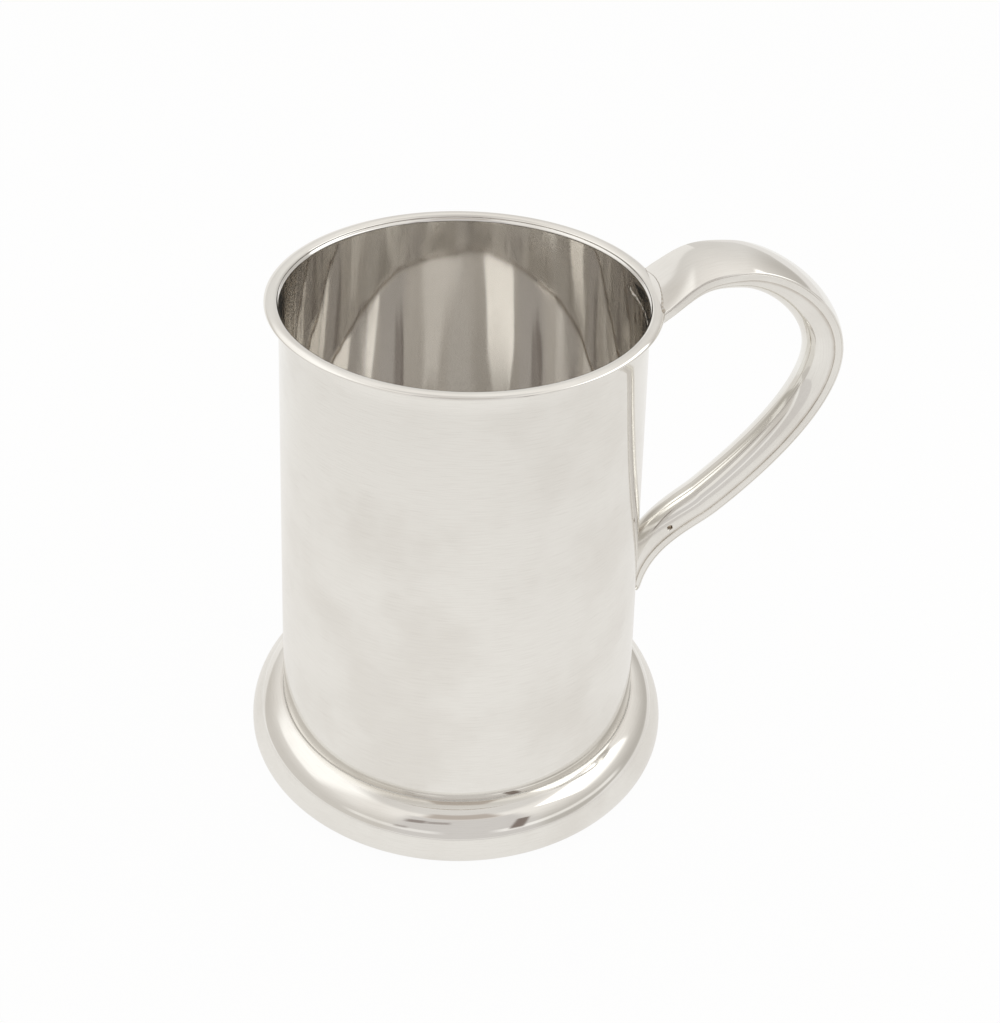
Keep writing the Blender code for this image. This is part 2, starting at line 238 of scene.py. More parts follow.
class TankardFinish(PropertyGroup):
    silver: FloatVectorProperty(
        name="Silver", description="Colour of the polished outside", subtype="COLOR",
        default=(0.900, 0.892, 0.866), min=0, max=1)
    worn: FloatVectorProperty(
        name="Worn silver", description="Colour of the duller inside and underside", subtype="COLOR",
        default=(0.862, 0.852, 0.835), min=0, max=1)
    # The tarnish colour is also the colour of the painted shade in corners, under edges and in seams
    tarnish_and_shade: FloatVectorProperty(
        name="Tarnish", description="Colour of the tarnish in corners and pits", subtype="COLOR",
        default=(0.36, 0.29, 0.22), min=0, max=1)
    solder: FloatVectorProperty(
        name="Solder", description="Colour of the hard solder", subtype="COLOR",
        default=(0.66, 0.65, 0.62), min=0, max=1)
    polish: FloatProperty(
        name="Roughness outside", description="Roughness of the polished outside",
        default=0.045, min=0, max=1, subtype="FACTOR")
    wear: FloatProperty(
        name="Roughness inside", description="Roughness of the worn inside",
        default=0.042, min=0, max=1, subtype="FACTOR")


class TankardStudio(PropertyGroup):
    # Painted light on the floor as the silver sees it: the paper's levels fall from left to right and away
    # from the tankard
    paper_light: FloatVectorProperty(
        name="Paper", description="Colour of the paper on the left", subtype="COLOR",
        default=(0.90, 0.88, 0.85), min=0, max=1)
    paper_light_far: FloatVectorProperty(
        name="Paper far out", description="Colour of the paper further out", subtype="COLOR",
        default=(0.80, 0.78, 0.75), min=0, max=1)
    paper_light_right: FloatVectorProperty(
        name="Paper on the right", description="Colour of the paper on the right", subtype="COLOR",
        default=(0.84, 0.82, 0.795), min=0, max=1)
    left_wall: FloatVectorProperty(
        name="Left wall", description="Brightness low on the left", subtype="COLOR",
        default=(0.66, 0.63, 0.59), min=0, max=2)
    right_wall: FloatVectorProperty(
        name="Right wall", description="Brightness low on the right", subtype="COLOR",
        default=(0.55, 0.525, 0.49), min=0, max=2)
    back_wall: FloatVectorProperty(
        name="Back wall", description="Brightness low at the back", subtype="COLOR",
        default=(0.73, 0.71, 0.68), min=0, max=2)
    high_wall: FloatVectorProperty(
        name="High wall", description="Brightness of the walls below the lamps", subtype="COLOR",
        default=(0.92, 0.89, 0.85), min=0, max=2)
    ceiling: FloatVectorProperty(
        name="Ceiling", description="Brightness of the ceiling", subtype="COLOR",
        default=(0.735, 0.71, 0.68), min=0, max=2)
    room: FloatVectorProperty(
        name="Room in front", description="Brightness of the open front", subtype="COLOR",
        default=(0.67, 0.645, 0.625), min=0, max=2)
    room_top: FloatVectorProperty(
        name="Room above the front", description="Brightness above the open front", subtype="COLOR",
        default=(0.52, 0.465, 0.42), min=0, max=2)
    dark: FloatVectorProperty(
        name="Black cards", description="Brightness of the black cards", subtype="COLOR",
        default=(0.24, 0.20, 0.18), min=0, max=2)
    lamps: FloatVectorProperty(
        name="Lamps", description="Brightness of the two soft lamps", subtype="COLOR",
        default=(1.72, 1.71, 1.67), min=0, max=2)


def smooth(x):
    """0 below 0, 1 above 1, and 3x^2 - 2x^3 between them."""
    x = np.clip(x, 0, 1)
    return x * x * (3 - 2 * x)


def ease(share, reach):
    """1 at a share of 0, falling to 0 at the given reach with the square of what is left."""
    return np.clip(1 - share / reach, 0, 1) ** 2


def bell(x, width):
    """A bell curve, e to the power of -(x / width) squared."""
    return np.exp(-(x / width) ** 2)


def arc(middle, radii, start, end, steps):
    """Points of an upright elliptic arc: r = middle + radius cos t, z = middle + radius sin t."""
    turns = np.radians(np.linspace(start, end, steps))
    return np.stack([middle[0] + radii[0] * np.cos(turns), middle[1] + radii[1] * np.sin(turns)], axis=1)


@dataclass
class Sheet:
    """A grid of points of a surface, with its stains and painted shade by point and its finish by column."""
    points: np.ndarray
    wraps_rows: bool = True
    wraps_columns: bool = True
    stain_and_shade: object = 0.0
    finish: object = 0


def places_along(points, axis):
    """Running lengths along one direction of a grid, averaged over the other, with one more to close it."""
    closed = np.concatenate([points, np.take(points, [0], axis=axis)], axis=axis)
    steps = np.linalg.norm(np.diff(closed, axis=axis), axis=2).mean(axis=1 - axis)
    return np.concatenate([[0], np.cumsum(steps)])


def sheet_faces(sheet, start):
    """Quads between neighbouring points, with the (u, v) lengths of their corners and their finishes."""
    rows, columns = sheet.points.shape[:2]
    i = np.arange(rows if sheet.wraps_rows else rows - 1)[:, None]
    j = np.arange(columns if sheet.wraps_columns else columns - 1)[None, :]
    i2, j2 = (i + 1) % rows, (j + 1) % columns
    quads = np.stack([i * columns + j, i * columns + j2, i2 * columns + j2, i2 * columns + j], axis=-1)
    u, v = places_along(sheet.points, 0), places_along(sheet.points, 1)
    corner_rows = np.broadcast_arrays(i, i, i + 1, i + 1, j)[:4]
    corner_columns = np.broadcast_arrays(j, j + 1, j + 1, j, i)[:4]
    uvs = np.stack([np.stack([u[a], v[b]], axis=-1) for a, b in zip(corner_rows, corner_columns)], axis=2)
    finishes = np.broadcast_to(np.broadcast_to(sheet.finish, (columns,))[None, :j.shape[1]], quads.shape[:2])
    return (quads + start).reshape(-1, 4), uvs.reshape(-1, 2), finishes.reshape(-1)


def make_piece(name, sheets, finishes, replaced=(), sharp=40):
    """Put sheets into one mesh object that rides on the body.

    A sheet that wraps in columns but not in rows is a tube, and gets a flat cap at each end. The points
    of a disc that meet on the axis are merged.
    """
    verts, faces, uvs, marks, stains_and_shades, start = [], [], [], [], [], 0
    for sheet in sheets:
        rows, columns = sheet.points.shape[:2]
        quads, corner_uvs, finish = sheet_faces(sheet, start)
        faces += quads.tolist()
        uvs.append(corner_uvs)
        marks.append(finish)
        if sheet.wraps_columns and not sheet.wraps_rows:
            faces.append(list(range(start, start + columns)))
            faces.append(list(range(start + (rows - 1) * columns, start + rows * columns))[::-1])
            uvs.append(np.zeros((2 * columns, 2)))
            marks.append(finish[:2])
        verts.append(sheet.points.reshape(-1, 3))
        stains_and_shades.append(np.broadcast_to(sheet.stain_and_shade, (rows, columns)).reshape(-1))
        start += rows * columns
    mesh = bpy.data.meshes.new(name)
    mesh.from_pydata(np.concatenate(verts).tolist(), [], faces)
    mesh.uv_layers.new(name="lengths").data.foreach_set("uv", np.concatenate(uvs).astype(np.float32).ravel())
    # Per point: real stains, and painted shade in corners, under edges, in seams and at the vent, laid on
    # towards tarnish
    stain_and_shade = mesh.attributes.new("stain_and_shade", "FLOAT", "POINT")
    stain_and_shade.data.foreach_set("value", np.concatenate(stains_and_shades).astype(np.float32))
    mesh.polygons.foreach_set("material_index", np.concatenate(marks).astype(np.int32))
    for finish in finishes:
        mesh.materials.append(finish)
    bm = bmesh.new()
    bm.from_mesh(mesh)
    if not all(sheet.wraps_columns for sheet in sheets):
        bmesh.ops.remove_doubles(bm, verts=bm.verts, dist=1e-7)
    bmesh.ops.recalc_face_normals(bm, faces=bm.faces)
    bm.to_mesh(mesh)
    bm.free()
    mesh.shade_smooth()
    mesh.set_sharp_from_angle(angle=math.radians(sharp))
    piece = bpy.data.objects.new(name, mesh)
    bpy.context.scene.collection.objects.link(piece)
    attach(piece, BODY)
    if replaced:
        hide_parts(*replaced)
    return piece


def turned(outline, dent=None, stain_and_shade=0.0, finish=0):
    """A closed (r, z) outline spun round the axis: x = r cos t, y = r sin t, with r plus any dents."""
    turns = np.linspace(0, 2 * math.pi, ROUND_STEPS, endpoint=False)[:, None]
    r, z = outline[None, :, 0], outline[None, :, 1]
    if dent is not None:
        r = r + dent(turns, z)
    r, z = np.broadcast_arrays(r + 0 * turns, z)
    points = np.stack([AXIS_X + r * np.cos(turns), r * np.sin(turns), z], axis=-1)
    return Sheet(points, stain_and_shade=stain_and_shade, finish=finish)


def barrel_radius(z):
    """The barrel's outer radius: a straight taper up to the neck, then out with the square of the rise."""
    z = np.asarray(z)
    taper = WAIST_RADIUS + (NECK_RADIUS - WAIST_RADIUS) * (z - FOOT_HEIGHT) / (NECK_HEIGHT - FOOT_HEIGHT)
    rise = np.clip((z - NECK_HEIGHT) / (RIM_HEIGHT - RIM_THICKNESS - NECK_HEIGHT), 0, 1)
    return np.where(z < NECK_HEIGHT, taper, NECK_RADIUS + (LIP_RADIUS - NECK_RADIUS) * rise ** 2)


def bore_radius(z, wall):
    """The barrel's inner radius: a straight taper that turns out only in the lip's last millimetre."""
    low = WAIST_RADIUS - wall
    taper = low + (BORE_AT_LIP - low) * (z - FOOT_HEIGHT) / (LIP_HEIGHT - FOOT_HEIGHT)
    turn_out = RIM_RADIUS - RIM_WIDTH + 0.1 * MM - BORE_AT_LIP
    return taper + turn_out * smooth((z - LIP_HEIGHT) / MM + 1) ** 2


def hammered(height):
    """Waves of planishing: a sum of sines round the body whose phase drifts and strength swells with z.

    They fade out towards the lip and the lower edge.
    """
    def dent(turns, z):
        total = 0
        bend = 0.8 * np.sin(3 * turns + 40 * z)
        for lobes, weight, drift, phase in PLANISHING:
            swell = 0.6 + 0.4 * np.sin(52 * z + 1.7 * lobes + 2 * np.sin(turns + phase))
            total = total + weight * swell * np.sin(lobes * turns + phase + drift * z + bend)
        fade = smooth((RIM_HEIGHT - 4 * MM - z) / (10 * MM)) * smooth((z - barrel_low[2]) / (5 * MM))
        return height * total * fade
    return dent


def make_barrel(sizes, finishes):
    """The body: its outer outline and its straighter bore, joined at the lip and the lower edge."""
    heights = np.concatenate([
        np.linspace(barrel_low[2], FOOT_HEIGHT, 24)[:-1], FOOT_HEIGHT + 0.1 * MM * np.arange(20),
        np.linspace(FOOT_HEIGHT + 2.4 * MM, NECK_HEIGHT, 34), np.linspace(NECK_HEIGHT, LIP_HEIGHT, 30)[1:]])
    outside = np.stack([barrel_radius(heights), heights], axis=1)
    inside = np.stack([bore_radius(heights[::-1], sizes.wall), heights[::-1]], axis=1)
    outline = np.concatenate([outside, inside])
    is_inside = np.arange(len(outline)) >= len(outside)
    waves = hammered(sizes.hammering)
    z = outline[:, 1]
    # Painted shade: a faint dark line on the body in the corner just above the foot
    painted_shade_at_foot = 0.12 * bell(z - FOOT_HEIGHT - 0.45 * MM, 0.18 * MM)
    # Painted shade: the body darkens just under the rim wire
    painted_shade_under_rim = 0.6 * smooth((z - LIP_HEIGHT + 0.95 * MM) / (0.3 * MM))
    base_line = 0.6 * bell(z - plate_high[2], 0.6 * MM)
    sheet = turned(outline, dent=lambda turns, z: waves(turns, z) * is_inside,
                   stain_and_shade=np.where(is_inside, base_line, painted_shade_at_foot + painted_shade_under_rim), finish=is_inside.astype(int))
    return make_piece("barrel_shell", [sheet], finishes, ["barrel"])


def make_rim(finishes):
    """The rim wire: an ellipse spun round the axis."""
    middle = (RIM_RADIUS - RIM_WIDTH / 2, RIM_HEIGHT - RIM_THICKNESS / 2)
    outline = arc(middle, (RIM_WIDTH / 2, RIM_THICKNESS / 2), 0, 360, 65)[:-1]
    r, z = outline.T
    # Painted shade: the rim wire's underside darkens on its inner half, next to the body
    under = smooth((middle[1] - z) / (0.5 * MM)) * smooth((middle[0] + MM - r) / MM)
    return make_piece("rim_wire", [turned(outline, stain_and_shade=0.5 * under)], finishes[:1], ["rim_moulding"])


def make_base(finishes, solder):
    """The base disc: a shallow dish, a parabola inside a flat margin; and the round fillet that holds it."""
    edge = PLATE_RADIUS + PLATE_REACH
    dish = PLATE_RADIUS - PLATE_MARGIN
    height = plate_high[2]
    wall = height - PLATE_DISH - plate_low[2]
    shares = np.linspace(0, 1, 24)
    top = np.stack([dish * shares, height - PLATE_DISH * (1 - shares ** 2)], axis=1)
    margin = np.linspace(dish, edge, 10)[1:]
    top = np.concatenate([top, np.stack([margin, height + 0 * margin], axis=1)])
    outline = np.concatenate([top, top[::-1] - (0, wall)])
    edge_line = 0.9 * smooth((outline[:, 0] - edge + 1.4 * MM) / (0.8 * MM))
    disc = turned(outline, stain_and_shade=edge_line)
    disc.wraps_columns = False
    make_piece("base_disc", [disc], finishes[1:], ["base_plate"])
    leg = BASE_FILLET
    corner = (PLATE_RADIUS + SEAT_GAP, height - wall)
    fillet = np.concatenate([[corner], arc((corner[0] - leg, corner[1] - leg), (leg, leg), 0, 90, 7)])
    make_piece("base_solder_fillet", [turned(fillet, stain_and_shade=0.3)], [solder], ["base_solder"])


def make_foot(sizes, finishes, solder):
    """The foot: two quarter ellipses, above and below its widest line, spun round with their wall.

    Also the standing wire inside its lower edge, and the hollow fillet of solder on its top.
    """
    upper = arc((FOOT_NECK_RADIUS, FOOT_BELLY_HEIGHT),
                (FOOT_RADIUS - FOOT_NECK_RADIUS, FOOT_HEIGHT - FOOT_BELLY_HEIGHT), 90, 0, 60)
    lower = arc((FOOT_RADIUS - STAND_INSET, FOOT_BELLY_HEIGHT),
                (STAND_INSET, FOOT_BELLY_HEIGHT - foot_low[2]), 0, -90, 30)[1:]
    outside = np.concatenate([upper, lower])
    along = np.gradient(outside, axis=0)
    along /= np.linalg.norm(along, axis=1)[:, None]
    inside = outside + sizes.wall * np.stack([along[:, 1], -along[:, 0]], axis=1)
    inside[0] = outside[0] - (0, sizes.wall)
    inside[-1] = outside[-1] + (0, sizes.wall)
    outline = np.concatenate([outside, inside[::-1]])
    is_inside = np.arange(len(outline)) >= len(outside)
    # Painted shade: a faint dark line on the foot's top next to the body
    painted_shade_at_neck = 0.15 * bell(outline[:, 0] - FOOT_NECK_RADIUS - 0.5 * MM, 0.25 * MM)
    # Painted shadow: the foot's lowest millimetre darkens where it meets the floor
    painted_contact_shadow = 0.6 * smooth((1.0 * MM - outline[:, 1]) / (0.6 * MM))
    stain_and_shade = np.where(is_inside, 0.1, painted_shade_at_neck + painted_contact_shadow)
    make_piece("foot_shell", [turned(outline, stain_and_shade=stain_and_shade, finish=is_inside.astype(int))], finishes,
               ["foot_moulding"])
    outer = STAND_RADIUS + SEAT_GAP - STAND_ROUND
    inner = STAND_RADIUS - STAND_WIDTH + STAND_ROUND
    low, top = STAND_ROUND, wire_high[2] - STAND_ROUND
    rounds = ((outer, top, 90, 0), (outer, low, 0, -90), (inner, low, -90, -180), (inner, top, 180, 90))
    section = np.concatenate([arc((r, z), (STAND_ROUND, STAND_ROUND), start, end, 5)
                              for r, z, start, end in rounds])
    make_piece("standing_wire", [turned(section, stain_and_shade=0.15)], finishes[1:], ["foot_wire"])
    corner, leg = (FOOT_NECK_RADIUS, FOOT_HEIGHT - FOOT_SINK), FOOT_FILLET
    fillet = np.concatenate([[corner], arc((corner[0] + leg, corner[1] + leg), (leg, leg), 270, 180, 10)])
    make_piece("foot_solder_fillet", [turned(fillet, stain_and_shade=0.05)], [solder], ["foot_solder"])


def cubic(start, pull_start, pull_end, end):
    """Points of a cubic Bezier curve: its four corners weighted by (1-t)^3, 3(1-t)^2 t, 3(1-t)t^2 and t^3."""
    t = np.linspace(0, 1, SPAN_STEPS + 1)[:, None]
    return ((1 - t) ** 3 * start + 3 * (1 - t) ** 2 * t * pull_start
            + 3 * (1 - t) * t ** 2 * pull_end + t ** 3 * end)


class HandleLine:
    """The handle's outer edge line: four cubic curves after a straight root. Its places start at the rim."""

    def __init__(self):
        out, down = np.array([1.0, 0.0]), np.array([0.0, -1.0])
        joint_way = np.array([math.cos(JOINT_ANGLE), math.sin(JOINT_ANGLE)])
        run_way = -np.array([math.cos(RUN_ANGLE), math.sin(RUN_ANGLE)])
        corner = np.array([RIM_RADIUS, RIM_HEIGHT])
        joint, crest, loop, run = (corner + p for p in (JOINT, CREST, LOOP, RUN))
        tail_height = RIM_HEIGHT - TAIL_DOWN
        tail = np.array([barrel_radius(tail_height) + TAIL_OFF_BARREL, tail_height])
        spans = [
            cubic(joint, joint + JOINT_PULL * joint_way, crest - CREST_PULL * out, crest),
            cubic(crest, crest + CREST_PULL * out, loop - LOOP_PULL * down, loop),
            cubic(loop, loop + LOOP_PULL * down, run - RUN_PULLS[0] * run_way, run),
            cubic(run, run + RUN_PULLS[1] * run_way, tail - TAIL_PULL * down, tail),
        ]
        root = np.linspace(joint - ROOT_LENGTH * joint_way, joint, SPAN_STEPS // 4)[:-1]
        self.points = np.concatenate([root, spans[0]] + [s[1:] for s in spans[1:]])
        steps = np.linalg.norm(np.diff(self.points, axis=0), axis=1)
        self.places = np.concatenate([[0], np.cumsum(steps)]) - ROOT_LENGTH
        self.length = self.places[-1]
        along = np.gradient(self.points, self.places, axis=0)
        along /= np.linalg.norm(along, axis=1)[:, None]
        self.inwards = np.stack([along[:, 1], -along[:, 0]], axis=1)

    def at(self, place, inward):
        """(r, z) at a distance along the line and a depth into the loop."""
        r, z, way_r, way_z = (np.interp(place, self.places, values)
                              for values in (*self.points.T, *self.inwards.T))
        return r + inward * way_r, z + inward * way_z


def closer(even, middle, reach, count, clear):
    """Even places, with closer ones round a middle in place of those that lie nearer than clear to it."""
    return np.sort(np.concatenate([even[np.abs(even - middle) > clear],
                                   middle + np.linspace(-reach, reach, count)]))


class Handle:
    """The handle's two surfaces, as functions of the place along its line and the place round its section."""

    def __init__(self, sizes):
        self.line = HandleLine()
        self.wall = sizes.channel_wall
        self.vent_radius = sizes.vent / 2
        self.vent_place = self.line.length - VENT_FROM_TAIL
        self.strip_parts = self.strip_columns()
        self.channel_parts = self.channel_columns()

    def sizes(self, place):
        """Width, depth, crown, and the edge's rise and underside at each place."""
        share = np.clip(place / self.line.length, 0, 1)
        width = (WIDTH_OF_RUN + (WIDTH_AT_RIM - WIDTH_OF_RUN) * ease(share, FLARE_SHARE)
                 - (WIDTH_OF_RUN - WIDTH_AT_TAIL) * ease(1 - share, TAPER_SHARE))
        depth = (DEPTH_OF_LOOP - (DEPTH_OF_LOOP - DEPTH_AT_RIM) * ease(share, DEEPEN_SHARE)
                 - (DEPTH_OF_LOOP - DEPTH_AT_TAIL) * ease(1 - share, TAPER_SHARE))
        crown = STRIP_CROWN - (STRIP_CROWN - STRIP_CROWN_AT_RIM) * ease(share, CROWN_SHARE)
        from_tip = np.clip(1 - (1 - share) * self.line.length / STRIP_TIP_LENGTH, 0, 1)
        width = width * np.sqrt(1 - TIP_NARROWING * from_tip ** 2)
        thinning = ease(1 - share, THINNING_SHARE)
        rise = EDGE_RISE[0] + (EDGE_RISE[1] - EDGE_RISE[0]) * thinning
        under = EDGE_UNDER[0] + (EDGE_UNDER[1] - EDGE_UNDER[0]) * thinning
        crown = np.maximum(crown * np.minimum(1, width / WIDTH_OF_RUN), rise + LEAST_CROWN)
        return width, depth, crown, rise, under

    def strip_columns(self):
        """For each line along the strip, its weights of rise, crown, underside, edge round and half width.

        The face's depth is (crown - rise) |s|^p - crown over sides s from -1 to 1. The edges are quarter
        rounds and the back is flat. The last three rows are a depth and a side in metres, for the line cut
        along each edge, and the stain, which here is painted shade: in the cut line, growing round each
        edge's underside, and over the flat back.
        """
        s = np.sin(np.linspace(-math.pi / 2, math.pi / 2, FACE_COLUMNS))
        lift = 1 - np.abs(s) ** CROWN_POWER
        turns = np.linspace(0, math.pi / 2, 7)[1:]
        flat = np.linspace(1, -1, 9)[1:-1]
        cut = EDGE_LINE + EDGE_LINE_WIDTH * np.array([-1, -0.5, 0, 0.5, 1])
        sunk = EDGE_LINE_DEPTH * np.array([0, 0.6, 1, 0.6, 0])
        # Painted shade in the line cut along each edge
        shade_in_line = np.array([0.0, 0.15, 0.25, 0.15, 0.0])

        def part(rise, crown, under, depth_round, half, side_round, depth=0, side=0, stain_and_shade=0):
            rows = (rise, crown, under, depth_round, half, side_round, depth, side, stain_and_shade)
            return np.stack(np.broadcast_arrays(*rows))
        edge = np.concatenate([
            part(-1, 0, 0, 1 - np.cos(turns), 1, np.sin(turns) - 1),
            part(-1, 0, 0, 0, 1, 0, cut, -sunk, shade_in_line),
            # Painted shade that grows round to each edge's underside
            part(0, 0, 1, np.sin(turns) - 1, 1, np.cos(turns) - 1, stain_and_shade=0.2 * turns ** 2)], axis=1)
        other = edge[:, ::-1] * np.array([1, 1, 1, 1, -1, -1, 1, -1, 1])[:, None]
        # The flat back carries painted shade too
        return np.concatenate([part(lift - 1, -lift, 0, 0 * s, s, -s), edge,
                               part(0, 0, 1, 0 * flat, flat, -flat, stain_and_shade=0.6), other], axis=1)

    def strip(self, place):
        """Depth and side of the strip's closed section."""
        width, _, crown, rise, under = self.sizes(place)
        parts = self.strip_parts[:, None, :]
        by_rise, by_crown, by_under, by_round, by_half, by_side_round, line, sunk, _ = parts
        line = np.minimum(line, (rise + under) * EDGE_LINE_LIMIT)
        depths = rise * by_rise + crown * by_crown + under * by_under + EDGE_ROUND * by_round + line
        return depths, width / 2 * by_half + EDGE_ROUND * by_side_round + sunk

    def channel_columns(self):
        """Turns round the channel's section, closer at the vent hole, and which of them are inside."""
        _, depth, _, _, under = self.sizes(self.vent_place)
        start = under - SEAM_SINK
        self.vent_turn = math.pi - math.asin(((VENT_DEPTH - start) / (depth - start)) ** (1 / CHANNEL_POWER))
        turns = closer(np.linspace(0, math.pi, CHANNEL_COLUMNS), self.vent_turn, *VENT_TURNS)
        inside = np.concatenate([0 * turns, 0 * turns + 1])
        return np.concatenate([turns, turns[::-1]]), inside

    def channel(self, place):
        """Depth and side of the channel's section: start + (depth - start) sin^p t, and width cos t / 2."""
        turns, inside = self.channel_parts
        width, depth, _, _, under = self.sizes(place)
        start = under - SEAM_SINK
        lift = np.sin(turns) ** CHANNEL_POWER
        depths = start + (depth - self.wall * inside - start) * lift
        sides = (width / 2 - SEAM_INSET - self.wall * inside) * np.cos(turns)
        return depths, sides

    def stop_radius(self, z):
        """How far from the axis the handle stops: a little way into the rim wire or the barrel."""
        at_rim = z > RIM_HEIGHT - RIM_THICKNESS
        return np.where(at_rim, RIM_RADIUS - RIM_SINK, barrel_radius(z) - BARREL_SINK)

    def crossing(self, section, places):
        """For each line along a section, the place where it enters the body, going from far to near."""
        depths, sides = section(places[:, None])
        r, z = self.line.at(places[:, None], depths)
        over = np.hypot(r, sides) - self.stop_radius(z)
        count = np.cumprod(over > 0, axis=0).sum(axis=0)
        last = np.clip(count - 1, 0, len(places) - 2)
        columns = np.arange(over.shape[1])
        before, after = over[last, columns], over[last + 1, columns]
        part = np.where(count < len(places), before / np.maximum(before - after, 1e-9), 1.0)
        return places[last] + (places[last + 1] - places[last]) * np.clip(part, 0, 1)

    def surface(self, section, far_end, shares):
        """Points of a surface with its ends trimmed to the body; the trim fades out along the handle."""
        near = self.crossing(section, np.linspace(TRIM_FROM_RIM, -ROOT_LENGTH, TRIM_STEPS))
        far = self.crossing(section, np.linspace(self.line.length * TRIM_FROM_SHARE, far_end, TRIM_STEPS))
        t = shares[:, None]
        place = (near.mean() + (far.mean() - near.mean()) * t
                 + (near - near.mean()) * ease(t, TRIM_FADE) + (far - far.mean()) * ease(1 - t, TRIM_FADE))
        depths, sides = section(place)
        r, z = self.line.at(place, depths)
        return place, np.stack([AXIS_X + r, sides, z], axis=-1)

    def vented(self, place, points):
        """Push the channel's near side in at the vent hole; gives how deep, from 0 to 1, for the painted
        shade in the dimple.
        """
        turns, inside = self.channel_parts
        middle = np.argmin(np.abs(turns - self.vent_turn) + inside)
        row = np.argmin(np.abs(place[:, middle] - self.vent_place))
        away = np.linalg.norm((points - points[row, middle])[..., (0, 2)], axis=-1)
        near_side = (inside == 0) & (turns > math.pi / 2)
        sunk = smooth((self.vent_radius + VENT_SLOPE / 2 - away) / VENT_SLOPE) * near_side
        points[..., 1] += VENT_DIMPLE * sunk
        return sunk


def joint_path(face):
    """Where each line along the strip's face comes out of the rim wire, whose section is an ellipse."""
    across = (np.hypot(face[..., 0] - AXIS_X, face[..., 1]) - RIM_RADIUS) / (RIM_WIDTH / 2) + 1
    up = (face[..., 2] - RIM_HEIGHT) / (RIM_THICKNESS / 2) + 1
    over = np.hypot(across, up) - 1
    row = np.maximum(np.argmax(over > 0, axis=0), 1)
    columns = np.arange(over.shape[1])
    before, after = over[row - 1, columns], over[row, columns]
    part = np.clip(before / (before - after), 0, 1)[:, None]
    return face[row - 1, columns] * (1 - part) + face[row, columns] * part


def make_handle(sizes, finishes, solder):
    """The strip and the channel behind it, and the beads of solder round both ends."""
    handle = Handle(sizes)
    length = handle.line.length
    even = np.linspace(0, 1, LENGTH_STEPS)
    _, strip = handle.surface(handle.strip, length, even)
    channel_length = CHANNEL_END * length
    shares = closer(even, (length - VENT_FROM_TAIL) / channel_length, *VENT_SHARES)
    place, channel = handle.surface(handle.channel, channel_length, shares)
    # The vent dimple's depth is also painted in as shade, standing in for the dark of the hole
    sunk = handle.vented(place, channel)
    make_piece("handle_face", [Sheet(strip, wraps_rows=False, stain_and_shade=handle.strip_parts[-1][None, :])],
               finishes[:1], ["handle_strip"], sharp=30)
    turns, inside = handle.channel_parts
    # Painted shade along both edges of the channel, in the seam under the strip
    edge = 0.45 * bell(np.sin(turns), 0.06)[None, :] * (inside == 0)
    make_piece("handle_back", [Sheet(channel, wraps_rows=False, stain_and_shade=np.maximum(sunk, edge))], finishes[:1],
               ["handle_channel"], sharp=30)
    outer = len(turns) // 2
    near_edge = strip[0, -EDGE_COLUMNS:]
    far_edge = strip[0, FACE_COLUMNS:FACE_COLUMNS + EDGE_COLUMNS]
    ring = np.concatenate([far_edge, channel[0, :outer], near_edge])
    top = bead(ring, sizes.bead, LUMPS_ROUND_CHANNEL)
    line = bead(joint_path(strip[:, :FACE_COLUMNS]), sizes.bead * FACE_BEAD_SHARE, LUMPS_ON_FACE)
    make_piece("handle_top_solder", [top, line], [solder], ["upper_handle_solder"])
    low = bead(channel[-1, :outer], sizes.bead, ())
    make_piece("handle_low_solder", [low], [solder], ["lower_handle_solder"])


def bead(path, radius, lumps):
    """A tube of solder along a path: the radius wavers with sines, and grows by a bell curve at each lump."""
    steps = np.linalg.norm(np.diff(path, axis=0), axis=1)
    places = np.concatenate([[0], np.cumsum(steps)])
    even = np.linspace(0, places[-1], BEAD_STEPS)
    path = np.stack([np.interp(even, places, path[:, k]) for k in range(3)], axis=1)
    along = np.gradient(path, axis=0)
    along /= np.linalg.norm(along, axis=1)[:, None] + 1e-12
    side = np.cross(along, (0, 0, 1.0)) + 1e-9
    side /= np.linalg.norm(side, axis=1)[:, None]
    up = np.cross(side, along)
    turns = np.linspace(0, 2 * math.pi, BEAD_SIDES, endpoint=False)[None, :]
    share = (even / places[-1])[:, None]
    waver = 1 + 0.18 * np.sin(61 * share + 2 * np.sin(turns)) + 0.14 * np.sin(143 * share + 3 * turns)
    radii = radius * waver
    for middle, width, growth in lumps:
        radii = radii + radius * growth * bell(share - middle, width)
    points = path[:, None] + radii[..., None] * (np.cos(turns)[..., None] * side[:, None]
                                                 + np.sin(turns)[..., None] * up[:, None])
    return Sheet(points, wraps_rows=False, stain_and_shade=0.4 + 0.3 * np.sin(97 * share))


class Socket:
    """One output of a shader node. Arithmetic on it adds Math nodes to its tree."""

    def __init__(self, tree, socket):
        self.tree, self.socket = tree, socket

    def math(self, operation, first, second=None):
        values = {0: first} if second is None else {0: first, 1: second}
        return self.tree.add("ShaderNodeMath", {"operation": operation}, values)

    def __add__(self, other):
        return self.math("ADD", self, other)

    def __radd__(self, other):
        return self.math("ADD", other, self)

    def __sub__(self, other):
        return self.math("SUBTRACT", self, other)

    def __rsub__(self, other):
        return self.math("SUBTRACT", other, self)

    def __mul__(self, other):
        return self.math("MULTIPLY", self, other)

    def __rmul__(self, other):
        return self.math("MULTIPLY", other, self)

    def __abs__(self):
        return self.math("ABSOLUTE", self)


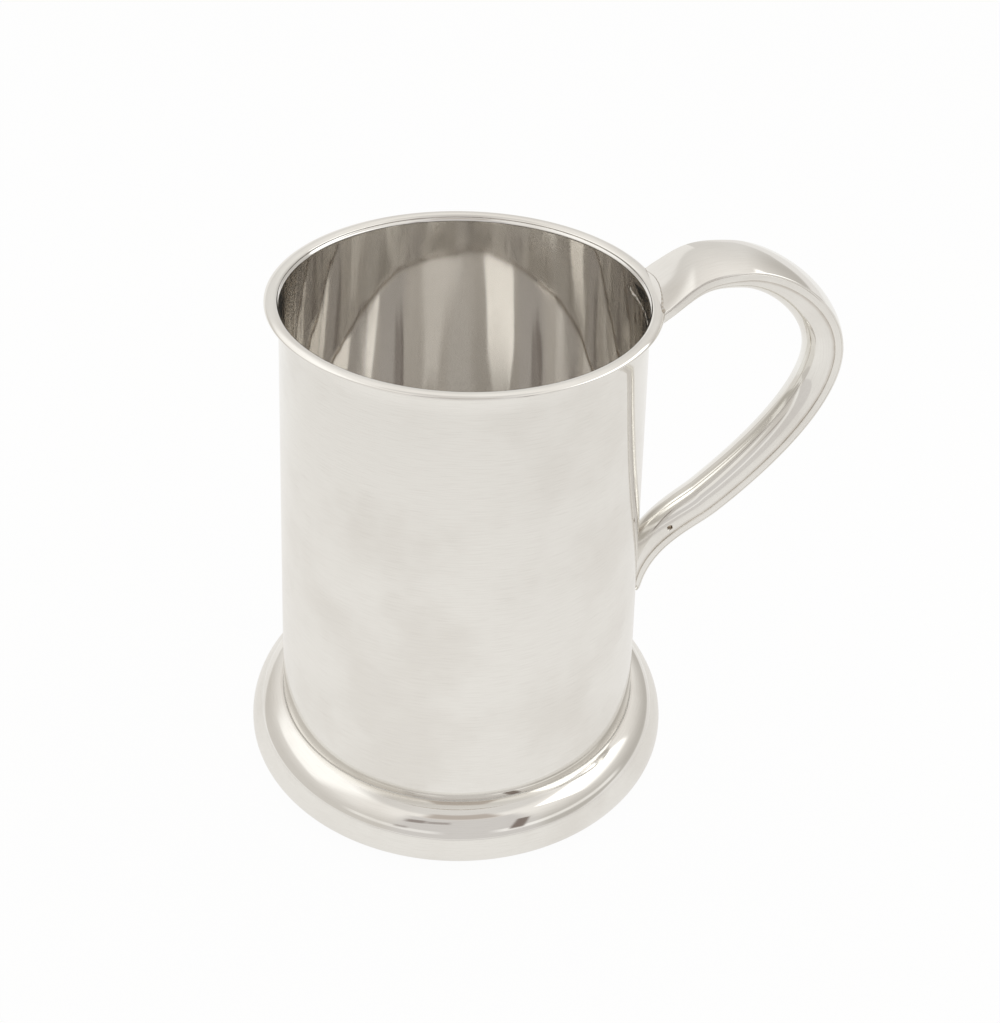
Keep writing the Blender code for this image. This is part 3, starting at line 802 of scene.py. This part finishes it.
class Tree:
    """A shader node tree that is being built."""

    def __init__(self, owner):
        owner.use_nodes = True
        self.nodes, self.links = owner.node_tree.nodes, owner.node_tree.links
        self.nodes.clear()

    def add(self, kind, settings=None, values=None, output=0):
        """A node of a type, its settings first, then the values or links of its sockets; gives one output."""
        node = self.nodes.new(kind)
        for name, setting in (settings or {}).items():
            setattr(node, name, setting)
        for name, value in (values or {}).items():
            if isinstance(value, Socket):
                self.links.new(value.socket, node.inputs[name])
            else:
                node.inputs[name].default_value = value
        return Socket(self, node.outputs[output]) if len(node.outputs) else None

    def ramp(self, value, low, high):
        """A smooth step of a value from 0 at low to 1 at high."""
        settings = {"interpolation_type": "SMOOTHSTEP"}
        return self.add("ShaderNodeMapRange", settings, {"Value": value, "From Min": low, "From Max": high})

    def window(self, value, low, high, soft):
        """1 between two values and 0 outside them, with smooth steps as wide as soft."""
        inside = self.ramp(value, low - soft / 2, low + soft / 2)
        return inside * (1 - self.ramp(value, high - soft / 2, high + soft / 2))

    def blend(self, under, over, amount):
        """One colour laid over another by an amount from 0 to 1."""
        values = {"Factor": amount, 6: colour(under), 7: colour(over)}
        return self.add("ShaderNodeMix", {"data_type": "RGBA", "clamp_factor": True}, values, output=2)

    def noise(self, place, scale, detail=2.0, roughness=0.5):
        """Clouds of noise, from 0 to 1, as many to the metre as the scale says."""
        return self.add("ShaderNodeTexNoise", None,
                        {"Vector": place, "Scale": scale, "Detail": detail, "Roughness": roughness})

    def outputs(self, first, *names):
        """More outputs of the node that an output belongs to."""
        return [Socket(self, first.socket.node.outputs[name]) for name in names]

    def axes(self, place):
        """The x, y and z of a place."""
        return self.outputs(self.add("ShaderNodeSeparateXYZ", None, {"Vector": place}), 0, 1, 2)

    def stretched(self, place, scales):
        """A place whose x, y and z are scaled apart, for streaks."""
        return self.add("ShaderNodeMapping", {"vector_type": "POINT"}, {"Vector": place, "Scale": scales})


def colour(value):
    """A colour socket as it is, or three numbers with a full alpha."""
    return value if isinstance(value, Socket) else (*value, 1.0)


def silver(name, look, base, metal, roughness, scuffs, hair):
    """Silver with clouds of faint tarnish, corners darkened by stains and by painted shade, and hairlines of
    a given fineness.
    """
    mat = bpy.data.materials.new(name)
    tree = Tree(mat)
    place = tree.add("ShaderNodeTexCoord", output="Object")
    lengths = tree.add("ShaderNodeUVMap", {"uv_map": "lengths"})
    stain_and_shade = tree.add("ShaderNodeAttribute", {"attribute_name": "stain_and_shade"}, output="Fac")
    clouds = tree.noise(place, 42.0, 3.0)
    grime = tree.noise(place, 420.0, 1.0)
    hairs = tree.noise(tree.stretched(lengths, hair), 1.0, 1.0)
    patch = tree.ramp(clouds, 0.40, 0.68)
    # Real tarnish and scuffs, plus the painted shade that the stain attribute holds
    dirt_and_shade = stain_and_shade * (0.55 + 0.9 * grime) + (patch * 0.65 + tree.ramp(hairs, 0.45, 0.7) * 0.3) * scuffs
    base_colour = tree.blend(base, look.tarnish_and_shade, dirt_and_shade)
    rough = roughness + patch * scuffs * 0.3 + stain_and_shade * 0.18 + tree.ramp(hairs, 0.55, 0.8) * scuffs * 0.4
    shader = tree.add("ShaderNodeBsdfPrincipled", None, {
        "Base Color": base_colour, "Metallic": metal, "Roughness": rough})
    tree.add("ShaderNodeOutputMaterial", None, {"Surface": shader})
    return mat


def hard_solder(look):
    """Hard solder as it froze: greyer than the silver, dull and pitted."""
    mat = bpy.data.materials.new("frozen_solder")
    tree = Tree(mat)
    place = tree.add("ShaderNodeTexCoord", output="Object")
    stain_and_shade = tree.add("ShaderNodeAttribute", {"attribute_name": "stain_and_shade"}, output="Fac")
    lumps = tree.noise(place, 1400.0, 3.0, 0.6)
    grain = tree.noise(place, 5200.0, 2.0)
    base_colour = tree.blend(look.solder, look.tarnish_and_shade, stain_and_shade * (0.4 + lumps))
    normal = tree.add("ShaderNodeBump", None, {
        "Strength": 1.0, "Distance": 0.06 * MM, "Height": lumps + grain * 0.3})
    shader = tree.add("ShaderNodeBsdfPrincipled", None, {
        "Base Color": base_colour, "Metallic": 1.0, "Roughness": 0.24 + 0.3 * lumps, "Normal": normal})
    tree.add("ShaderNodeOutputMaterial", None, {"Surface": shader})
    return mat


def material(name):
    """A finish by name, made the first time that it is asked for: two silvers, and the solder."""
    if name not in bpy.data.materials:
        look = bpy.context.scene.tankard_finish
        if name == "silver_outside":
            silver(name, look, look.silver, 1.0, look.polish, 0.16, (160.0, 5200.0, 1.0))
        elif name == "silver_inside":
            silver(name, look, look.worn, 0.98, look.wear, 0.03, (900.0, 25.0, 1.0))
        else:
            hard_solder(look)
    return bpy.data.materials[name]


def silvers():
    return [material("silver_outside"), material("silver_inside")]


def floor_paper(studio):
    """White paper that the camera sees evenly lit, by Light Path, but for the tankard's soft shadow. The
    silver sees painted light on it, brighter on the left, near the tankard and at the back, and the room
    beyond the cards.
    """
    mat = bpy.data.materials.new("floor_paper")
    tree = Tree(mat)
    place = tree.add("ShaderNodeTexCoord", output="Object")
    x, y, _ = tree.axes(place)
    camera = tree.add("ShaderNodeLightPath", output="Is Camera Ray")
    glossy, transmitted = tree.outputs(camera, "Is Glossy Ray", "Is Transmission Ray")
    # Painted light on the paper for the silver: brighter on the left and near the tankard, brightest at the
    # back
    sides = tree.blend(studio.paper_light, studio.paper_light_right, tree.ramp(x, -0.06, 0.18))
    away = tree.add("ShaderNodeVectorMath", {"operation": "LENGTH"}, {0: place}, output=1)
    sides = tree.blend(sides, studio.paper_light_far, tree.ramp(away, 0.09, 0.30) * 0.75)
    paper_light = tree.blend(sides, PAPER_LIGHT_AT_BACK, tree.ramp(y, 0.05, 0.25))
    paper_light = tree.blend(paper_light, studio.room, 1 - tree.ramp(y, CARD_PLACE - 0.005, CARD_PLACE + 0.005))
    glow = tree.add("ShaderNodeEmission", None, {"Color": tree.blend(paper_light, WHITE, camera)})
    white = tree.add("ShaderNodeBsdfDiffuse", None, {"Color": (0.9, 0.9, 0.89, 1)})
    share = camera * 0.96 + (glossy + transmitted) * 0.8
    shader = tree.add("ShaderNodeMixShader", None, {0: share, 1: white, 2: glow})
    tree.add("ShaderNodeOutputMaterial", None, {"Surface": shader})
    return mat


def studio_world(studio):
    """The studio as seen from the tankard, by azimuth (0 in front, + to the right) and elevation in degrees.

    Pale walls that brighten upwards, a ceiling, an open front with a dim room and a darker top, two faint
    low lights, and the floor's paper below a horizon that lies higher at the sides.
    """
    world = bpy.data.worlds.new("studio")
    tree = Tree(world)
    x, y, z = tree.axes(tree.add("ShaderNodeTexCoord", output="Generated"))
    around = x.math("ARCTAN2", x, y * -1) * math.degrees(1)
    height = z.math("ARCSINE", z) * math.degrees(1)
    away = abs(around)
    walls = tree.blend(studio.left_wall, studio.right_wall, tree.ramp(around, *RIGHT_WALL))
    walls = tree.blend(walls, studio.back_wall, tree.ramp(away, *BACK_WALL))
    walls = tree.blend(walls, studio.high_wall, tree.ramp(height, *HIGH_WALL))
    walls = tree.blend(walls, studio.ceiling, tree.ramp(height, *CEILING))
    front = (1 - tree.ramp(away, *FRONT_SIDES)) * (1 - tree.ramp(height, *FRONT_TOP))
    walls = tree.blend(walls, studio.room, front)
    top = (1 - tree.ramp(away, *ROOM_TOP_SIDES)) * tree.window(height, *ROOM_TOP)
    walls = tree.blend(walls, studio.room_top, top)
    low = tree.window(height, *LOW_LIGHTS)
    walls = tree.blend(walls, studio.lamps, tree.window(around, *LOW_LIGHT_RIGHT) * low * 0.3)
    walls = tree.blend(walls, studio.lamps, tree.window(around, *LOW_LIGHT_LEFT) * low * 0.2)
    horizon = 1 + 7 * tree.ramp(around, 48, 85) + 17 * tree.ramp(around * -1, 116, 158)
    above = tree.ramp(height - horizon, -HORIZON_SOFTNESS, HORIZON_SOFTNESS)
    sides = tree.blend(studio.paper_light, studio.paper_light_right, tree.ramp(around, -20, 60))
    seen = tree.blend(sides, walls, above)
    camera = tree.add("ShaderNodeLightPath", output="Is Camera Ray")
    light = tree.add("ShaderNodeBackground", None, {"Color": tree.blend(seen, WHITE, camera)})
    tree.add("ShaderNodeOutputWorld", None, {"Surface": light})
    return world


def soft_panel(name, light, mask):
    """A panel that glows where its mask of x, y and z is 1, and can't be seen where it is 0."""
    mat = bpy.data.materials.new(name)
    tree = Tree(mat)
    shape = mask(tree, *tree.axes(tree.add("ShaderNodeTexCoord", output="Object")))
    glow = tree.add("ShaderNodeEmission", None, {"Color": (*light, 1)})
    clear = tree.add("ShaderNodeBsdfTransparent")
    shader = tree.add("ShaderNodeMixShader", None, {0: shape, 1: clear, 2: glow})
    tree.add("ShaderNodeOutputMaterial", None, {"Surface": shader})
    return mat


def right_lamp(tree, x, y, z):
    """A mask with crisp front and back edges that fades away to the right."""
    return tree.ramp(x, 0.11, 0.13) * (1 - tree.ramp(x, 0.20, 0.36)) * tree.window(y, -0.14, 0.115, 0.015)


def left_lamp(tree, x, y, z):
    """A softer and weaker mask whose near side slants by 0.3 of y."""
    out = y * 0.3 - x
    fade = 1 - tree.ramp(out, 0.46, 0.56)
    return tree.ramp(out, 0.12, 0.18) * fade * tree.window(y, -0.06, 0.28, 0.12) * 0.30


def black_cards(tree, x, y, z):
    """A mask of four cards: one over the lens, a leaning one to its right, and two to its left."""
    leaning = x - z * 0.311
    return (tree.window(x, -0.125, -0.06, 0.02) * tree.window(z, 0.245, 0.305, 0.02) * 0.6
            + tree.window(leaning, 0.056, 0.099, 0.015) * tree.window(z, 0.09, 0.25, 0.03)
            + tree.window(x, -0.199, -0.131, 0.03) * tree.window(z, 0.24, 0.325, 0.03) * 0.8
            + tree.window(x, -0.218, -0.174, 0.02) * tree.window(z, 0.107, 0.143, 0.02) * 0.5)


def make_flat(name, points, finish, seen=True):
    """One flat face that belongs to the studio; a lamp or a card is only seen in the silver."""
    mesh = bpy.data.meshes.new(name)
    mesh.from_pydata(points, [], [(0, 1, 2, 3)])
    mesh.materials.append(finish)
    flat = bpy.data.objects.new(name, mesh)
    bpy.context.scene.collection.objects.link(flat)
    flat.visible_camera = seen


def corners(low, high):
    """The four corners of a rectangle between two opposite ones."""
    return [(low[0], low[1]), (high[0], low[1]), (high[0], high[1]), (low[0], high[1])]


def make_stage(studio):
    """White paper three metres wide just under the tankard, two lamps over its sides, and cards."""
    reach = FLOOR_REACH
    make_flat("floor", [(x, y, FLOOR_DROP) for x, y in corners((-reach, -reach), (reach, reach))],
              floor_paper(studio))
    for name, low, high, mask, z in (("lamp_right", (0.09, -0.17), (0.38, 0.14), right_lamp, LAMP_HEIGHTS[0]),
                                     ("lamp_left", (-0.60, -0.13), (0.0, 0.35), left_lamp, LAMP_HEIGHTS[1])):
        panel = soft_panel(name, studio.lamps, mask)
        make_flat(name, [(x, y, z) for x, y in corners(low, high)], panel, False)
    make_flat("cards", [(x, CARD_PLACE, z) for x, z in corners((-0.25, 0.05), (0.25, 0.42))],
              soft_panel("black_cards", studio.dark, black_cards), False)


def make_camera():
    camera = bpy.data.objects.new("camera", bpy.data.cameras.new("camera"))
    bpy.context.scene.collection.objects.link(camera)
    camera.location = CAMERA_PLACE
    camera.rotation_euler = [math.radians(angle) for angle in CAMERA_TURN]
    camera.data.lens = CAMERA_LENS
    camera.data.clip_start = 0.01
    bpy.context.scene.camera = camera


class TANKARD_OT_body(Operator):
    """Make the body and the wire round its rim"""
    bl_idname = "tankard.body"
    bl_label = "Body and rim"

    def execute(self, context):
        make_barrel(context.scene.tankard_sizes, silvers())
        make_rim(silvers())
        return {"FINISHED"}


class TANKARD_OT_base(Operator):
    """Make the base disc inside the body, with its solder"""
    bl_idname = "tankard.base"
    bl_label = "Base"

    def execute(self, context):
        make_base(silvers(), material("frozen_solder"))
        return {"FINISHED"}


class TANKARD_OT_foot(Operator):
    """Make the hollow foot, its standing wire and its solder"""
    bl_idname = "tankard.foot"
    bl_label = "Foot"

    def execute(self, context):
        make_foot(context.scene.tankard_sizes, silvers(), material("frozen_solder"))
        return {"FINISHED"}


class TANKARD_OT_handle(Operator):
    """Make the hollow handle and the solder at both its ends"""
    bl_idname = "tankard.handle"
    bl_label = "Handle"

    def execute(self, context):
        make_handle(context.scene.tankard_sizes, silvers(), material("frozen_solder"))
        return {"FINISHED"}


class TANKARD_OT_studio(Operator):
    """Set up the floor, the light and the camera"""
    bl_idname = "tankard.studio"
    bl_label = "Studio"

    def execute(self, context):
        scene = context.scene
        scene.view_settings.view_transform = "Standard"
        scene.cycles.max_bounces = MIRROR_BOUNCES
        scene.cycles.glossy_bounces = MIRROR_BOUNCES
        make_stage(scene.tankard_studio)
        scene.world = studio_world(scene.tankard_studio)
        make_camera()
        return {"FINISHED"}


class TANKARD_PT_pieces(Panel):
    """The tankard's pieces, sizes and colours"""
    bl_label = "Silver tankard"
    bl_space_type = "VIEW_3D"
    bl_region_type = "UI"
    bl_category = "Tankard"

    def draw(self, context):
        for key, kind in GROUPS.items():
            box = self.layout.box()
            for name in kind.__annotations__:
                box.prop(getattr(context.scene, key), name)
        for maker in MAKERS:
            self.layout.operator(maker.bl_idname)


MAKERS = (TANKARD_OT_body, TANKARD_OT_base, TANKARD_OT_foot, TANKARD_OT_handle, TANKARD_OT_studio)
GROUPS = {"tankard_sizes": TankardSizes, "tankard_finish": TankardFinish, "tankard_studio": TankardStudio}


def register():
    for kind in (*GROUPS.values(), *MAKERS, TANKARD_PT_pieces):
        bpy.utils.register_class(kind)
    for name, group in GROUPS.items():
        setattr(bpy.types.Scene, name, PointerProperty(type=group))


def unregister():
    for name in GROUPS:
        delattr(bpy.types.Scene, name)
    for kind in (TANKARD_PT_pieces, *reversed(MAKERS), *GROUPS.values()):
        bpy.utils.unregister_class(kind)


def main():
    register()
    bpy.ops.tankard.body()
    bpy.ops.tankard.base()
    bpy.ops.tankard.foot()
    bpy.ops.tankard.handle()
    bpy.ops.tankard.studio()


if __name__ == "__main__":
    main()
